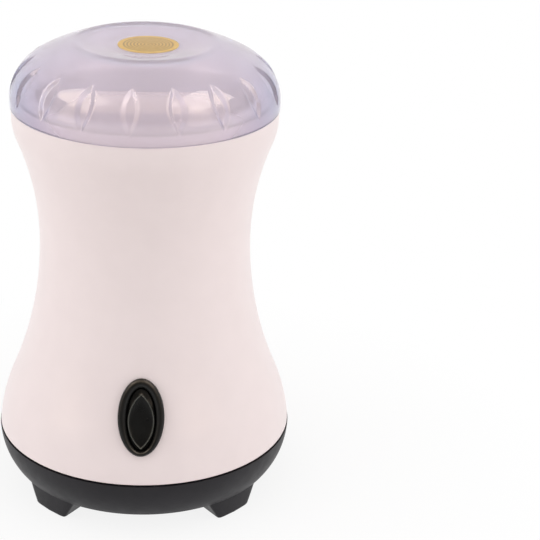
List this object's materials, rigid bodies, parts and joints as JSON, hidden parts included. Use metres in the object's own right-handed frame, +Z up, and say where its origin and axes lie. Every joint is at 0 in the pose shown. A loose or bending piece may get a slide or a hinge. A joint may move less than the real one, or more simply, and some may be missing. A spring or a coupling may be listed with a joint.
{
  "type": "electric spice grinder",
  "caption": "Blade grinder with a waisted housing, clear fluted lid over a steel bowl, spinning blade on a motor, and a push button on the front.",
  "frame": {"origin": "centre of the footprint on the surface that the feet stand on, under the motor's axis", "axes": "+Z up along the motor's axis, -Y to the front with the push button, +X to the right seen from the front"},
  "size_m": [0.1064, 0.1064, 0.1652],
  "materials": {
    "housing_white": "glossy moulded ABS",
    "base_grey": "fine-textured dark grey plastic",
    "lid_clear": "clear polished plastic with a faint lavender tint",
    "sticker_yellow": "printed film with a darker border",
    "button_black": "satin black plastic",
    "bowl_steel": "polished stainless steel",
    "blade_steel": "ground stainless steel",
    "screw_steel": "zinc-plated steel",
    "shaft_steel": "ground steel",
    "rubber_black": "matt rubber",
    "rubber_grey": "matt silicone rubber",
    "bracket_alloy": "cast alloy",
    "bracket_plastic": "glass-filled nylon",
    "bushing_plastic": "unfilled acetal",
    "lamination": "stacked electrical steel",
    "copper": "enamelled copper wire",
    "commutator_copper": "turned copper",
    "carbon": "carbon block",
    "brass": "plain brass",
    "bronze": "sintered bronze",
    "fan_white": "natural nylon",
    "lead_brown": "soft PVC sleeve",
    "crimp_white": "nylon",
    "plunger_red": "moulded plastic"
  },
  "bodies": {
    "casing": {"housing": "housing_white", "base": "base_grey", "base_screws": "screw_steel", "cord_gland": "rubber_black", "grinding_bowl": "bowl_steel", "bowl_gasket": "rubber_grey", "bowl_damper": "rubber_grey", "shaft_bushing": "bushing_plastic", "bushing_nut": "screw_steel", "shaft_seal": "rubber_black", "stator_core": "lamination", "field_coils": "copper", "upper_bracket": "bracket_alloy", "lower_bracket": "bracket_plastic", "upper_bearing": "shaft_steel", "lower_bearing": "bronze", "brush_holders": "brass", "carbon_brushes": "carbon", "brush_springs": "brass", "motor_bolts": "screw_steel", "motor_mounts": "rubber_black", "mount_screws": "screw_steel", "button_bezel": "button_black", "button_spring": "screw_steel", "switch_body": "bracket_plastic", "switch_terminals": "brass", "switch_screws": "screw_steel", "lead_wires": "lead_brown", "crimp_caps": "crimp_white"},
    "lid": {"lid": "lid_clear", "lid_sticker": "sticker_yellow"},
    "rotor": {"motor_shaft": "shaft_steel", "armature_core": "lamination", "armature_winding": "copper", "commutator": "commutator_copper", "cooling_fan": "fan_white", "blade_spacer": "brass", "blade": "blade_steel", "blade_washer": "screw_steel", "blade_nut": "screw_steel"},
    "button": {"button": "button_black"},
    "plunger": {"switch_plunger": "plunger_red"}
  },
  "joints": [
    {"name": "lid_lift", "type": "slide", "parent": "casing", "child": "lid", "axis": [0, 0, 1], "range_m": [0, 0.06]},
    {"name": "rotor_spin", "type": "hinge", "parent": "casing", "child": "rotor", "pos_m": [0, 0, 0.07], "axis": [0, 0, 1], "continuous": true},
    {"name": "button_press", "type": "slide", "parent": "casing", "child": "button", "axis": [0, 0.9449, -0.3274], "range_m": [0, 0.0022], "stiffness_N_per_m": 350, "springref_m": -0.004, "deforming": ["button_spring"]},
    {"name": "plunger_travel", "type": "slide", "parent": "casing", "child": "plunger", "axis": [0, 0.9449, -0.3274], "range_m": [0, 0.0022]}
  ],
  "couplings": [
    {"joint": "plunger_travel", "follows": "button_press", "ratio": 1}
  ]
}
